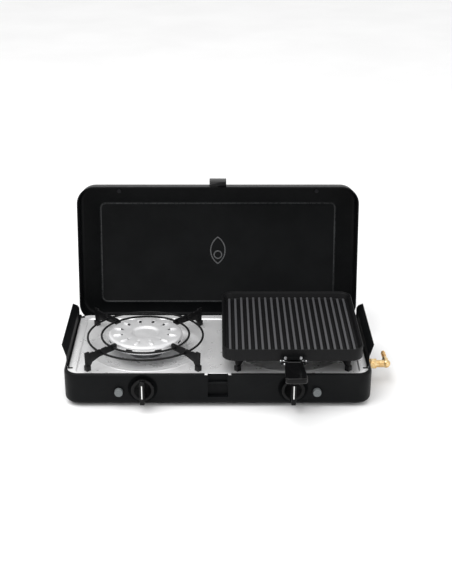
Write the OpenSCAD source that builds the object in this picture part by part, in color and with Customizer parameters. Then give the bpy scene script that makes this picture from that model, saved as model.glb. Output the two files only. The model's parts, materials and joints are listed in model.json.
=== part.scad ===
// Two-burner gas camping stove: a flat steel case with a hinged lid, a stainless hob,
// two covered burners on pot stands, two folding wind shields and a ribbed grill pan.
// +X is right, +Y is back, +Z is up. The origin is on the standing surface, under the
// middle of the case.

/* [Case] */
// Width of the case
case_w = 560; // [540:5:600]
// Depth of the case, front to back
case_d = 270; // [266:2:290]
// Height of the steel tray
tray_h = 61; // [58:1:66]
// Corner radius of the tray in plan
tray_r = 28; // [24:1:30]
// Radius of the tray's bottom edge
tray_edge = 9; // [6:1:10]
// Height of the rubber feet
foot_h = 5; // [4:1:8]
// Thickness of the pressed steel sheet
sheet = 1.2; // [1:0.1:1.4]

/* [Lid] */
// Height of the lid
lid_h = 60; // [58:1:66]
// Corner radius of the lid in plan
lid_r = 34; // [30:1:38]
// Radius of the lid's top edge
lid_edge = 8; // [6:1:10]
// Angle of the open lid from closed
lid_open = 102; // [92:1:104]

/* [Hob] */
// Distance of each burner from the middle
burner_x = 136; // [134:1:138]
// Burner centre, front to back
burner_y = -14.5; // [-16:0.5:-12]
// Radius of the pressed well round a burner
well_r = 106; // [100:1:108]
// Radius of a burner cap
cap_r = 70; // [66:1:72]

/* [Pot stands] */
// Width of the square that the stand's feet make
stand_w = 200.4; // [198:0.2:204]
// Height of the stand's corner posts
post_h = 36; // [34:1:38]
// Radius of the stand's wire
wire_r = 2; // [1.8:0.1:2.2]

/* [Grill pan] */
// Width of the pan
pan_w = 253; // [248:1:254]
// Depth of the pan, front to back
pan_d = 269; // [264:1:270]
// Height of the pan, skirt to rim
pan_h = 22.6; // [22:0.2:24]
// Number of ribs in the pan
pan_ribs = 20; // [18:1:20]

/* [Controls] */
// Height of the knob centres above the standing surface
knob_z = 38; // [36:1:40]
// Radius of a knob
knob_r = 21; // [19:0.5:22]
// Distance of each igniter button from the middle
button_x = 179.5; // [176:0.5:184]

/* [Wind shields] */
// Height of a shield's upright part
shield_up = 20; // [18:1:22]
// Width of a shield's flared part
shield_flare = 20; // [18:1:22]

/* [Hidden] */

$fn = 64;
clear = 0.05;                        // radial clearance of a running fit
steel_black = "#1b1c1e";
stainless = "#c9cacb";
brass = "#c9a66b";
plastic_black = "#141416";
rubber = "#202022";

case_z = foot_h;                     // underside of the tray
front_y = -case_d / 2;               // face of the tray's front
back_y = case_d / 2;
foot_x = 235;
foot_y = 104;
rim_z = foot_h + tray_h;             // top of the tray's rim
rim_edge = 4;                        // radius of the rolled rim
ledge_in = 6;                        // rim width from the outer face to the ledge
ledge_w = 9;                         // width of the ledge that carries the hob
ledge_z = rim_z - 1.1;               // top of that ledge

hob_t = 1;                           // hob sheet
hob_w = case_w - 2 * ledge_in - 0.8;
hob_d = case_d - 2 * ledge_in - 0.8;
hob_r = tray_r - ledge_in - 0.4;
hob_z = ledge_z + hob_t;             // top of the hob's border
field_drop = 1.5;                    // step from the border to the pressed field
field_z = hob_z - field_drop;        // top of the pressed field
field_side = 16;                     // border width at the sides and back
field_front = 3;                     // border width at the front
field_half = hob_w / 2 - field_side;
well_drop = 11;                      // depth of a well below the field
well_hole = 24;                      // radius of the hole in a well

cap_z = field_z + 31;                // top of a burner cap
cap_h = 14;                          // height of a burner cap
cap_t = 1.2;
cap_dimple = 24;                     // radius of the cap's middle dimple
cap_slots = 12;
cap_ports = 8;                       // long flame ports in the cap's skirt
neck_r = 13;
tube_r = 9;
tube_z = 40;                         // centre height of the mixing tubes

pipe_r = 5;
pipe_y = -104;
pipe_turn_x = 244;                   // where the manifold turns back towards the inlet
inlet_y = -33;
inlet_z = knob_z;

igniter_z = knob_z - 6.5;
button_r = 7.6;
spark_x = burner_x + 43.5;           // electrode, between the cap and the well's step
spark_y = burner_y + 60;             // behind the cap
neck_hole_r = 2.7;                   // hole in the well for the electrode's neck
lead_r = 1.4;
lead_z = 30;                         // height of the igniter leads' level run
lead_bend = 6;
igniter_back = front_y + 23;

lid_z = rim_z + 0.4;                 // rim plane of the closed lid
hinge_x = 190;                       // distance of each hinge from the middle
hinge_y = back_y + 3.4;
hinge_z = rim_z - 26;
hinge_pin_r = 1.6;
knuckle_r = 3.2;
leaf_t = 1.5;
rivet_dx = 9;                        // rivets of a hinge leaf, from its middle
latch_y = front_y - 6;               // latch pin, with the lid closed
latch_z = lid_z + 12;
latch_w = 33;
latch_pin_r = 1.5;
lug_w = 11.6;
rivet_head_r = 2.8;

pan_x = 134.3;
pan_y = -3.5;
pan_skirt = 6;                       // how far the skirt hangs below the floor's underside
pan_wall = 4;
pan_floor = 3;
pan_r = 23;
rib_h = 4.4;
rib_pitch = 11.8;
pan_z = field_z + post_h - pan_skirt;  // bottom of the skirt
pan_front = pan_y - pan_d / 2;
bail_y = pan_front - 7;
bail_z = pan_z + 4;
bail_r = 1.6;
bracket_w = 43;

shield_x = case_w / 2 - 7;
shield_z = rim_z + 2.8;
shield_rod_r = 1.1;
shield_roll_r = 2.1;
shield_front = -106;
shield_back = 116;
shield_t = 1;
ear_l = 3.5;                         // length of the ear at each end of a shield
ear_gap = 0.5;
shield_flare_a = 26;                 // outward lean of the flared part

// ---------- helpers ----------

function arc(cx, cy, r, a0, a1, n) =
    [for (i = [0:n]) let (a = a0 + (a1 - a0) * i / n) [cx + r * cos(a), cy + r * sin(a)]];

// Rounded rectangle round the origin
module rr(w, d, r) {
    square([w - 2 * r, d], center = true);
    square([w, d - 2 * r], center = true);
    for (sx = [-1, 1], sy = [-1, 1])
        translate([sx * (w / 2 - r), sy * (d / 2 - r)]) circle(r);
}

// Sweeps a profile round a rounded rectangle: x = 0 is the corner's centre, x = r its face
module round_sweep(w, d, r) {
    for (q = [0:3]) {
        a = q * 90;
        run = q % 2 == 0 ? d - 2 * r : w - 2 * r;
        off = q % 2 == 0 ? w / 2 - r : d / 2 - r;
        rotate([0, 0, a]) {
            translate([off, run / 2, 0]) rotate_extrude(angle = 90, $fn = 96) children();
            translate([off, run / 2, 0]) rotate([90, 0, 0]) linear_extrude(run) children();
        }
    }
}

// Points +Z of a child along -Y, towards the front
module facing_front(x, y, z) {
    translate([x, y, z]) rotate([90, 0, 0]) children();
}

// Points +Z of a child along +X
module facing_right(x, y, z) {
    translate([x, y, z]) rotate([0, 90, 0]) children();
}

module hexagon(af, h) {
    cylinder(r = af / sqrt(3), h = h, $fn = 6);
}

// Moves a child from the closed lid's place to the open lid's place
module on_open_lid() {
    translate([0, hinge_y, hinge_z]) rotate([-lid_open, 0, 0])
        translate([0, -hinge_y, -hinge_z]) children();
}

// ---------- case ----------

function tray_profile() = concat(
    [[0, case_z]],
    arc(tray_r - tray_edge, case_z + tray_edge, tray_edge, -90, 0, 6),
    arc(tray_r - rim_edge, rim_z - rim_edge, rim_edge, 0, 90, 4),
    [
        [tray_r - ledge_in, rim_z],
        [tray_r - ledge_in, ledge_z],
        [tray_r - ledge_in - ledge_w, ledge_z],
        [tray_r - ledge_in - ledge_w, ledge_z - sheet],
        [tray_r - sheet - 1.6, ledge_z - sheet],
        [tray_r - sheet, ledge_z - sheet - 1.6]
    ],
    arc(tray_r - tray_edge, case_z + tray_edge, tray_edge - sheet, 0, -90, 6),
    [[0, case_z + sheet]]
);

recess_w = 37;                       // latch recess in the tray's front
recess_d = 13;
recess_z = case_z + 15.5;
tab_x = 24;                          // outer edge of the hob's two tabs beside the recess
dish_r = 27;                         // pressed dish behind a knob
dish_d = 3.2;
vent_n = 5;

module knob_dish() {
    rotate_extrude() polygon([
        [6.2, -dish_d], [20, -dish_d], [dish_r + 0.6, 0], [dish_r + 0.6, -sheet],
        [20.4, -dish_d - sheet], [6.2, -dish_d - sheet]
    ]);
}

module base_shell() {
    color(steel_black) difference() {
        union() {
            difference() {
                union() {
                    round_sweep(case_w, case_d, tray_r) polygon(tray_profile());
                    translate([-case_w / 2 + tray_r, front_y + tray_r, case_z])
                        cube([case_w - 2 * tray_r, case_d - 2 * tray_r, sheet]);
                }
                for (s = [-1, 1])
                    facing_front(s * burner_x, front_y + 2, knob_z) cylinder(r = dish_r, h = 4);
                translate([-recess_w / 2, front_y - 1, recess_z])
                    cube([recess_w, recess_d, tray_h]);
            }
            for (s = [-1, 1]) facing_front(s * burner_x, front_y, knob_z) knob_dish();
            translate([0, front_y + 0.6, recess_z - sheet]) difference() {
                translate([-recess_w / 2 - sheet, 0, 0])
                    cube([recess_w + 2 * sheet, recess_d, ledge_z - sheet - recess_z]);
                translate([-recess_w / 2, -1, sheet])
                    cube([recess_w, recess_d - sheet + 1, tray_h]);
            }
        }
        for (s = [-1, 1]) {
            facing_front(s * button_x, front_y + 3, igniter_z) cylinder(r = button_r + 0.6, h = 6);
            for (i = [0:vent_n - 1])
                translate([s * burner_x - 30, 20 + i * 12, case_z - 1]) cube([60, 4, 4]);
        }
        // room for the hob's front tabs, and for the edge of its field
        translate([-tab_x - 0.4, front_y - 1, rim_z - 1.9]) cube([2 * tab_x + 0.8, 7.2, 3]);
        translate([-field_half - 1.8, front_y + ledge_in + 1.8, ledge_z - 3])
            cube([2 * field_half + 3.6, ledge_w, 6]);
        facing_right(case_w / 2 - 4, inlet_y, inlet_z) cylinder(r = 6.2, h = 8);
        for (x = [-foot_x, foot_x], y = [-foot_y, foot_y])
            translate([x, y, case_z - 1]) cylinder(r = 2.1, h = 4);
    }
}

module latch_keeper() {
    half = recess_w / 2 - 0.1;
    color(steel_black) {
        for (s = [-1, 1]) translate([s * (half - 0.6) - 0.6, front_y + 1.2, rim_z - 26])
            cube([1.2, 9, 23]);
        facing_right(-half, front_y + 6, rim_z - 20) cylinder(r = 2.5, h = 2 * half);
    }
}

module feet() {
    color(rubber) for (x = [-foot_x, foot_x], y = [-foot_y, foot_y]) translate([x, y, 0]) difference() {
        cylinder(r1 = 9.5, r2 = 11.5, h = foot_h, $fn = 48);
        translate([0, 0, -1]) cylinder(r = 4.2, h = 2.6);
        translate([0, 0, -1]) cylinder(r = 2.05, h = foot_h + 2);
    }
}

module foot_screws() {
    color(stainless) for (x = [-foot_x, foot_x], y = [-foot_y, foot_y]) translate([x, y, 0]) {
        translate([0, 0, 0.4]) cylinder(r = 3.8, h = 1.2);
        translate([0, 0, 1.6]) cylinder(r = 2, h = foot_h + 2);
    }
}

module well_profile() {
    polygon([
        [well_r + 1.5, 0], [well_r, 0], [well_r - 20, -7], [80, -8], [78, -well_drop],
        [well_hole, -well_drop], [well_hole, -well_drop - hob_t], [78.7, -well_drop - hob_t],
        [80.7, -9], [well_r - 20, -8.2], [well_r - 0.6, -hob_t], [well_r + 1.5, -hob_t]
    ]);
}

module hob_plate() {
    field_w = hob_w - 2 * field_side;
    field_d = hob_d - field_side - field_front;
    field_y = (field_front - field_side) / 2;
    low = field_z - hob_t;
    color(stainless) difference() {
        union() {
            difference() {
                translate([0, 0, low]) linear_extrude(hob_z - low) rr(hob_w, hob_d, hob_r);
                translate([0, field_y, field_z]) linear_extrude(5) rr(field_w, field_d, 10);
                translate([0, 0, low - 1]) linear_extrude(ledge_z - low + 1) difference() {
                    rr(hob_w + 2, hob_d + 2, hob_r + 1);
                    translate([0, field_y]) rr(field_w + 2, field_d + 2, 11);
                }
                for (s = [-1, 1]) translate([s * burner_x, burner_y, low - 1])
                    cylinder(r = well_r, h = 5, $fn = 128);
            }
            for (s = [-1, 1]) {
                translate([s * burner_x, burner_y, field_z]) rotate_extrude($fn = 128) well_profile();
                translate([s > 0 ? recess_w / 2 : -tab_x, front_y + 0.7, hob_z - 1.2])
                    cube([tab_x - recess_w / 2, 6.2, 1]);
            }
        }
        for (s = [-1, 1]) translate([s * spark_x, spark_y, field_z - well_drop - 3])
            cylinder(r = neck_hole_r, h = 5);
    }
}

// ---------- gas train ----------

module manifold_pipe() {
    color(brass) {
        facing_right(-burner_x - 12, pipe_y, knob_z)
            cylinder(r = pipe_r, h = pipe_turn_x + burner_x + 12);
        translate([pipe_turn_x, pipe_y, knob_z]) sphere(r = pipe_r);
        facing_front(pipe_turn_x, inlet_y, knob_z) cylinder(r = pipe_r, h = inlet_y - pipe_y);
        translate([pipe_turn_x, inlet_y, knob_z]) sphere(r = pipe_r);
        facing_right(pipe_turn_x, inlet_y, knob_z) cylinder(r = pipe_r, h = 22);
    }
}

module valve(s) {
    color(brass) difference() {
        union() {
            facing_front(s * burner_x, pipe_y + 8, knob_z) cylinder(r = 9, h = 22);
            translate([s * burner_x - 9, pipe_y - 8, knob_z - 9]) cube([18, 16, 18]);
        }
        facing_right(s * burner_x - 20, pipe_y, knob_z) cylinder(r = pipe_r + clear, h = 40);
        facing_front(s * burner_x, pipe_y - 7, knob_z) cylinder(r = 3 + clear, h = 20);
        facing_front(s * burner_x, pipe_y + 9, knob_z) cylinder(r = 3.5, h = 3.5);
    }
}

module injector(s) {
    color(brass) difference() {
        union() {
            facing_front(s * burner_x, pipe_y + 13, knob_z) hexagon(8, 5);
            facing_front(s * burner_x, pipe_y + 17, knob_z) cylinder(r = 3, h = 4);
        }
        facing_front(s * burner_x, pipe_y + 18, knob_z) cylinder(r = 0.8, h = 12, $fn = 24);
    }
}

module mixing_tube(s) {
    start = pipe_y + 14;
    run = burner_y - start;
    color(stainless) difference() {
        union() {
            facing_front(s * burner_x, burner_y, tube_z) cylinder(r = tube_r, h = run);
            translate([s * burner_x, burner_y, tube_z]) sphere(r = tube_r);
            translate([s * burner_x, burner_y, tube_z]) cylinder(r = tube_r, h = 20);
        }
        facing_front(s * burner_x, burner_y, tube_z) cylinder(r = tube_r - 1, h = run + 1);
        translate([s * burner_x, burner_y, tube_z]) sphere(r = tube_r - 1);
        translate([s * burner_x, burner_y, tube_z]) cylinder(r = tube_r - 1, h = 21);
    }
}

// ---------- burners ----------

module burner_body(s) {
    top = cap_z - cap_h;
    base = field_z - well_drop;
    neck_z = tube_z + tube_r + 0.6;
    color("#8f9092") translate([s * burner_x, burner_y, 0]) rotate_extrude($fn = 96) polygon([
        [tube_r + clear, neck_z], [neck_r, neck_z], [neck_r, base], [well_hole + 8, base],
        [well_hole + 8, base + 1.5], [neck_r + 2, base + 3], [neck_r + 4, top - 8],
        [cap_r - 8, top - 4], [cap_r - 3, top - 1.2], [cap_r, top - 1.2], [cap_r, top],
        [cap_r - 5, top], [cap_r - 10, top - 2.4], [neck_r + 2, top - 5.8],
        [tube_r + clear, top - 10]
    ]);
}

module burner_cap(s) {
    low = cap_z - cap_h;
    slot_r = 0.64 * cap_r;
    color(stainless) translate([s * burner_x, burner_y, 0]) difference() {
        rotate_extrude($fn = 96) polygon([
            [0, cap_z - 3], [cap_dimple, cap_z - 3], [cap_dimple + 2, cap_z], [cap_r - 4, cap_z],
            [cap_r - 1.2, cap_z - 1.2], [cap_r, cap_z - 4], [cap_r, low], [cap_r - cap_t, low],
            [cap_r - cap_t, cap_z - 4.4], [cap_r - 4.4, cap_z - cap_t],
            [cap_dimple + 2.8, cap_z - cap_t], [cap_dimple + 0.8, cap_z - 3 - cap_t],
            [0, cap_z - 3 - cap_t]
        ]);
        for (i = [0:cap_slots - 1]) rotate([0, 0, (i + 0.5) * 360 / cap_slots])
            translate([slot_r - 9, -2.5, cap_z - 4]) cube([18, 5, 8]);
        for (i = [0:cap_ports - 1]) rotate([0, 0, (i + 0.5) * 360 / cap_ports])
            translate([cap_r - 4, -7, low + 3.2]) cube([8, 14, 4.6]);
    }
}

module electrode(s) {
    base = field_z - well_drop;
    color("#e8e4da") translate([s * spark_x, spark_y, base]) {
        difference() {
            union() {
                cylinder(r = 3.4, h = 22);
                translate([0, 0, -4]) cylinder(r = neck_hole_r - 0.1, h = 4);
            }
            translate([0, 0, -5]) cylinder(r = 0.9, h = 30, $fn = 24);
        }
        translate([0, 0, -5]) cylinder(r = 0.9 - clear, h = 37, $fn = 24);
    }
}

module igniter_lead(s) {
    top = field_z - well_drop - 5;
    color("#b03a2e") translate([s * spark_x, spark_y, lead_z]) {
        translate([0, 0, lead_bend]) cylinder(r = lead_r, h = top - lead_z - lead_bend, $fn = 32);
        translate([0, -lead_bend, lead_bend]) rotate([0, 90, 0]) rotate_extrude(angle = 90)
            translate([lead_bend, 0]) circle(r = lead_r, $fn = 32);
        facing_front(0, -lead_bend, 0)
            cylinder(r = lead_r, h = spark_y - lead_bend - igniter_back, $fn = 32);
    }
}

module igniter_body(s) {
    color("#2a2a2c") difference() {
        union() {
            facing_front(s * button_x, front_y + 1.4, igniter_z) cylinder(r = button_r + 0.5, h = 1.3);
            facing_front(s * button_x, igniter_back, igniter_z)
                cylinder(r = 9.6, h = igniter_back - front_y - 1.4);
        }
        facing_front(s * button_x, front_y + 16, igniter_z) cylinder(r = button_r + clear, h = 20);
    }
}

module igniter_button(s) {
    color("#77797a") facing_front(s * button_x, front_y + 9, igniter_z) {
        cylinder(r = button_r, h = 15.4);
        translate([0, 0, 15.4]) cylinder(r1 = button_r, r2 = button_r - 1, h = 1);
    }
}

// ---------- knobs ----------

knob_back = front_y - 1.2;           // knob's back face
knob_disc = 8;
knob_travel = 3;                     // how far a knob pushes in
bar_w = 10.5;
bar_d = 20;
mark_w = 1.8;                        // inlaid line on the bar, and its two ends
mark_low = -7;
mark_high = 19;

module spindle(s) {
    start = pipe_y - 7 - knob_travel - 0.8;
    color(brass) facing_front(s * burner_x, start, knob_z)
        cylinder(r = 3, h = start - knob_back + 12);
}

module knob(s) {
    color(plastic_black) facing_front(s * burner_x, knob_back, knob_z) difference() {
        union() {
            cylinder(r = knob_r, h = knob_disc - 1.5);
            translate([0, 0, knob_disc - 1.5]) cylinder(r1 = knob_r, r2 = knob_r - 1.5, h = 1.5);
            translate([0, 0, knob_disc - 1]) linear_extrude(bar_d + 1) rr(bar_w, 2 * knob_r, 3);
        }
        translate([0, 0, -1]) cylinder(r = 3 + clear, h = 13.05);
        translate([-mark_w / 2, mark_low, knob_disc + bar_d - 1])
            cube([mark_w, mark_high - mark_low, 2]);
    }
}

module knob_mark(s) {
    color("white") facing_front(s * burner_x, knob_back, knob_z)
        translate([-mark_w / 2, mark_low, knob_disc + bar_d - 1])
            cube([mark_w, mark_high - mark_low, 1.1]);
}

// ---------- gas inlet ----------

elbow_x = case_w / 2 + 37;           // centre line of the hose barb

module inlet_locknut() {
    color(brass) facing_right(case_w / 2 + 0.2, inlet_y, inlet_z) difference() {
        hexagon(18, 6);
        translate([0, 0, -1]) cylinder(r = 6 + clear, h = 8);
    }
}

module inlet_union() {
    color(brass) facing_right(case_w / 2 - 14, inlet_y, inlet_z) difference() {
        union() {
            cylinder(r = 6, h = 24);
            translate([0, 0, 20.4]) hexagon(18, 11.6);
            cylinder(r = 8, h = 3);
        }
        translate([0, 0, -1]) cylinder(r = pipe_r + clear, h = 2);
        translate([0, 0, -1]) cylinder(r = 3, h = 40, $fn = 32);
        translate([0, 0, 28]) cylinder(r = 5 + clear, h = 10);
    }
}

barb_r = 4.4;
barb_len = 50;
barb_land = 18;                      // where the barb's plain land starts
inlet_bore_r = 2.4;

module inlet_elbow() {
    tail_r = barb_r - 0.9;
    side_x = case_w / 2;
    color(brass) difference() {
        union() {
            facing_right(side_x + 14.2, inlet_y, inlet_z) cylinder(r = 5, h = 6);
            facing_right(side_x + 18.2, inlet_y, inlet_z) cylinder(r = 7, h = elbow_x - side_x - 18.2);
            translate([elbow_x, inlet_y, inlet_z]) sphere(r = 8);
            facing_front(elbow_x, inlet_y + 16, inlet_z) cylinder(r = 6, h = 16);
            facing_front(elbow_x, inlet_y + barb_len, inlet_z) cylinder(r = tail_r, h = barb_len - 12);
            for (i = [0:3]) facing_front(elbow_x, inlet_y + barb_len - i * 7.5, inlet_z)
                cylinder(r1 = tail_r, r2 = barb_r, h = 5.5);
            facing_front(elbow_x, inlet_y + barb_land + 4, inlet_z) cylinder(r = barb_r, h = 4);
        }
        facing_front(elbow_x, inlet_y + barb_len + 1, inlet_z) cylinder(r = inlet_bore_r, h = barb_len + 1);
        facing_right(side_x + 10, inlet_y, inlet_z) cylinder(r = inlet_bore_r, h = elbow_x - side_x - 10);
    }
}

// ---------- pot stands ----------

ring_out = 108;
ring_in = 82;
ring_out_z = field_z + 24;
ring_in_z = field_z + 26;

module stand_arm() {
    post_in = stand_w / sqrt(2) - 3.2;
    post_out = stand_w / sqrt(2) + 3.6;
    t = 3;
    translate([0, t / 2, field_z]) rotate([90, 0, 0]) linear_extrude(t) polygon([
        [post_in, 0], [post_out, 0], [post_out + 1.6, post_h], [post_in - 1, post_h],
        [post_in - 2.4, 32.6], [post_in - 12, 32.6], [post_in - 13, 31.2], [post_in - 16, 31.2],
        [post_in - 17, 32.4], [post_in - 27, 32.4], [post_in - 28, 31], [post_in - 31, 31],
        [post_in - 32, 32.2], [post_in - 43, 32.2], [post_in - 44, 30.8], [post_in - 47, 30.8],
        [post_in - 48, 32], [cap_r + 4, 32], [cap_r + 2, 30], [cap_r + 2, 22], [cap_r + 6, 20],
        [post_in - 24, 18.5], [post_in - 8, 14], [post_in - 2, 6]
    ]);
}

module stand_arms(s) {
    foot = 9;
    color(plastic_black) translate([s * burner_x, burner_y, 0]) for (q = [0:3])
        rotate([0, 0, 45 + 90 * q]) difference() {
            union() {
                stand_arm();
                translate([stand_w / sqrt(2) - foot / 2, -foot / 2, field_z]) cube([foot, foot, 10]);
            }
            facing_front(ring_out, 5, ring_out_z) cylinder(r = wire_r + 0.15, h = 10, $fn = 32);
            facing_front(ring_in, 5, ring_in_z) cylinder(r = wire_r + 0.15, h = 10, $fn = 32);
        }
}

module stand_rings(s) {
    color(plastic_black) translate([s * burner_x, burner_y, 0]) {
        translate([0, 0, ring_out_z]) rotate_extrude($fn = 96)
            translate([ring_out, 0]) circle(r = wire_r, $fn = 24);
        translate([0, 0, ring_in_z]) rotate_extrude($fn = 96)
            translate([ring_in, 0]) circle(r = wire_r, $fn = 24);
    }
}

// ---------- grill pan ----------

module grill_pan() {
    under = pan_z + pan_skirt;
    inner_w = pan_w - 2 * pan_wall;
    inner_d = pan_d - 2 * pan_wall;
    color("#2c2c2e") translate([pan_x, pan_y, 0]) {
        difference() {
            translate([0, 0, pan_z]) linear_extrude(pan_h) rr(pan_w, pan_d, pan_r);
            translate([0, 0, under + pan_floor]) linear_extrude(pan_h) rr(inner_w, inner_d, pan_r - pan_wall);
            translate([0, 0, pan_z - 1]) linear_extrude(pan_skirt + 1) rr(inner_w, inner_d, pan_r - pan_wall);
            for (x = [-14, 14]) facing_front(x, -pan_d / 2 + 6, bail_z + 3) cylinder(r = 1.6, h = 8, $fn = 24);
        }
        for (i = [0:pan_ribs - 1]) {
            x = (i - (pan_ribs - 1) / 2) * rib_pitch;
            end = abs(x) > inner_w / 2 - pan_r ? 9 : 2.5;
            translate([x, inner_d / 2 - end, under + pan_floor - 0.5]) rotate([90, 0, 0])
                linear_extrude(inner_d - 2 * end)
                    polygon([[-3.6, 0], [3.6, 0], [2.3, rib_h + 0.5], [-2.3, rib_h + 0.5]]);
        }
    }
}

module pan_bracket() {
    color(stainless) translate([pan_x, 0, 0]) difference() {
        union() {
            translate([-bracket_w / 2, pan_front - 1.6, pan_z - 1.5]) cube([bracket_w, 1.5, 14]);
            for (s = [-1, 1])
                translate([s * (bracket_w / 2 - 1.2) - 1.2, pan_front - 12, pan_z - 1.5]) cube([2.4, 11, 14]);
        }
        for (x = [-14, 14]) facing_front(x, pan_front + 1, bail_z + 3) cylinder(r = 1.6, h = 8, $fn = 24);
        facing_right(-bracket_w, bail_y, bail_z) cylinder(r = bail_r + clear, h = 2 * bracket_w);
    }
}

module bracket_rivets() {
    color(stainless) translate([pan_x, 0, 0]) for (x = [-14, 14]) {
        facing_front(x, pan_front + pan_wall, bail_z + 3) cylinder(r = 1.55, h = pan_wall + 2, $fn = 24);
        facing_front(x, pan_front - 1.6, bail_z + 3) cylinder(r = rivet_head_r, h = 1, $fn = 32);
    }
}

bail_w = 32;                         // spread of the bail's arms
bail_reach = 9;                      // from the bail's pivot to its cross bar
bail_drop = 3.5;
grip_len = 93;
grip_root = 16;                      // half width of the grip at the bail
grip_end = 20;
grip_t = 10;
grip_tilt = 6;

// The bail is one wire, bent twice on each side
module handle_bail() {
    bend = 2.6;
    arm = norm([bail_drop, bail_reach]);
    color(stainless) translate([pan_x, bail_y, bail_z]) rotate([atan(bail_drop / bail_reach), 0, 0])
        for (m = [0, 1]) mirror([m, 0, 0]) {
            facing_right(bail_w / 2 + bend, 0, 0)
                cylinder(r = bail_r, h = bracket_w / 2 + 2 - bail_w / 2 - bend, $fn = 32);
            translate([bail_w / 2 + bend, -bend, 0]) rotate([0, 0, 90]) wire_bend(bend);
            facing_front(bail_w / 2, -bend, 0) cylinder(r = bail_r, h = arm - 2 * bend, $fn = 32);
            translate([bail_w / 2 - bend, bend - arm, 0]) rotate([0, 0, -90]) wire_bend(bend);
            facing_right(0, -arm, 0) cylinder(r = bail_r, h = bail_w / 2 - bend, $fn = 32);
        }
}

module wire_bend(bend) {
    rotate_extrude(angle = 90) translate([bend, 0]) circle(r = bail_r, $fn = 32);
}

// The grip widens towards its end, which has two rounded corners
module grip_2d() {
    corner = 8;
    polygon([
        [-grip_root, -4], [grip_root, -4], [grip_end, corner - grip_len],
        [grip_end - corner, -grip_len], [corner - grip_end, -grip_len], [-grip_end, corner - grip_len]
    ]);
    for (s = [-1, 1]) translate([s * (grip_end - corner), corner - grip_len]) circle(r = corner);
}

module handle_grip() {
    boss_w = 26;
    boss_r = 3.6;
    color(plastic_black) translate([pan_x, bail_y - bail_reach, bail_z - bail_drop])
        rotate([-grip_tilt, 0, 0]) difference() {
            union() {
                translate([0, 0, -1.6]) linear_extrude(grip_t) grip_2d();
                facing_right(-boss_w / 2, 0, 0) cylinder(r = boss_r, h = boss_w, $fn = 48);
                translate([-boss_w / 2, -8, -boss_r]) cube([boss_w, 8, 2 * boss_r]);
            }
            facing_right(-20, 0, 0) cylinder(r = bail_r + 0.02, h = 40, $fn = 32);
            // the wire's upper side stays bare
            translate([-20, -3, 0.2]) cube([40, 8, 12]);
        }
}

// ---------- wind shields ----------

// A shield lies in the YZ plane of its hinge; its flare leans outwards
module shield(s) {
    len_up = shield_back - shield_front;
    color(steel_black) translate([s * shield_x, 0, shield_z]) scale([s, 1, 1]) difference() {
        union() {
            facing_front(0, shield_back, 0) cylinder(r = shield_roll_r, h = len_up, $fn = 32);
            translate([1, shield_front, 0]) cube([shield_t, len_up, shield_up]);
            translate([1, 0, shield_up - 0.3]) rotate([0, shield_flare_a, 0]) rotate([90, 0, 90])
                linear_extrude(shield_t) polygon([
                    [shield_front, 0], [shield_back, 0], [shield_back - 3, 7],
                    [shield_back - 22, shield_flare], [shield_front + 12, shield_flare]
                ]);
        }
        facing_front(0, shield_back + 1, 0) cylinder(r = shield_rod_r + clear, h = len_up + 2, $fn = 32);
    }
}

module shield_rod(s) {
    reach = ear_gap + ear_l - 0.2;
    color(stainless) facing_front(s * shield_x, shield_back + reach, shield_z)
        cylinder(r = shield_rod_r, h = shield_back - shield_front + 2 * reach, $fn = 32);
}

module shield_ears() {
    ear_r = 2.8;
    tab = 9;                         // how far the ear's foot reaches over the hob's border
    color(steel_black) for (s = [-1, 1], y = [shield_front - ear_gap - ear_l, shield_back + ear_gap])
        difference() {
            union() {
                facing_front(s * shield_x, y + ear_l, shield_z) cylinder(r = ear_r, h = ear_l, $fn = 32);
                translate([s * shield_x - (s > 0 ? tab : ear_r), y, rim_z]) cube([tab + ear_r, ear_l, 1]);
                translate([s * shield_x - ear_r, y, rim_z]) cube([2 * ear_r, ear_l, shield_z - rim_z]);
            }
            facing_front(s * shield_x, y + ear_l + 1, shield_z)
                cylinder(r = shield_rod_r + clear, h = ear_l + 2, $fn = 32);
        }
}

// ---------- lid ----------

lid_top = lid_z + lid_h;
panel_w = 480;                       // pressed line in the lid's panel
panel_d = 212;
bead_w = 2.4;

function lid_profile() = concat(
    [[lid_r - 3, lid_z], [lid_r, lid_z]],
    arc(lid_r - lid_edge, lid_top - lid_edge, lid_edge, 0, 90, 6),
    [[0, lid_top], [0, lid_top - sheet]],
    arc(lid_r - lid_edge, lid_top - lid_edge, lid_edge - sheet, 90, 0, 6),
    [[lid_r - sheet, lid_z + sheet], [lid_r - 3, lid_z + sheet]]
);

module frame_2d(w, d, r, t) {
    difference() {
        rr(w, d, r);
        rr(w - 2 * t, d - 2 * t, r - t);
    }
}

flame_r = 34;
flame_off = 18;                      // offset of the two arcs that make the flame
flame_eye_r = 9;

// A plain flame, the pressed motif in the lid; g draws its outline in
module flame_2d(g) {
    intersection() {
        translate([-flame_off, 0]) circle(r = flame_r - g);
        translate([flame_off, 0]) circle(r = flame_r - g);
    }
}

module lid_shell() {
    color(steel_black) on_open_lid() {
        difference() {
            union() {
                round_sweep(case_w, case_d, lid_r) polygon(lid_profile());
                translate([-case_w / 2 + lid_r, front_y + lid_r, lid_top - sheet])
                    cube([case_w - 2 * lid_r, case_d - 2 * lid_r, sheet]);
                translate([0, 0, lid_top - sheet - 1]) linear_extrude(1.2) {
                    frame_2d(panel_w, panel_d, 10, bead_w);
                    difference() {
                        flame_2d(0);
                        flame_2d(bead_w);
                    }
                    translate([0, flame_eye_r]) difference() {
                        circle(r = flame_eye_r);
                        circle(r = flame_eye_r - bead_w);
                    }
                }
            }
            translate([0, 0, lid_top - 0.8]) linear_extrude(2)
                frame_2d(panel_w - 1, panel_d - 1, 9.5, bead_w - 1);
        }
    }
}

module hinge_strap(x, low, high) {
    translate([x - 16, back_y + clear, low]) cube([32, leaf_t, high - low]);
}

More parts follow.
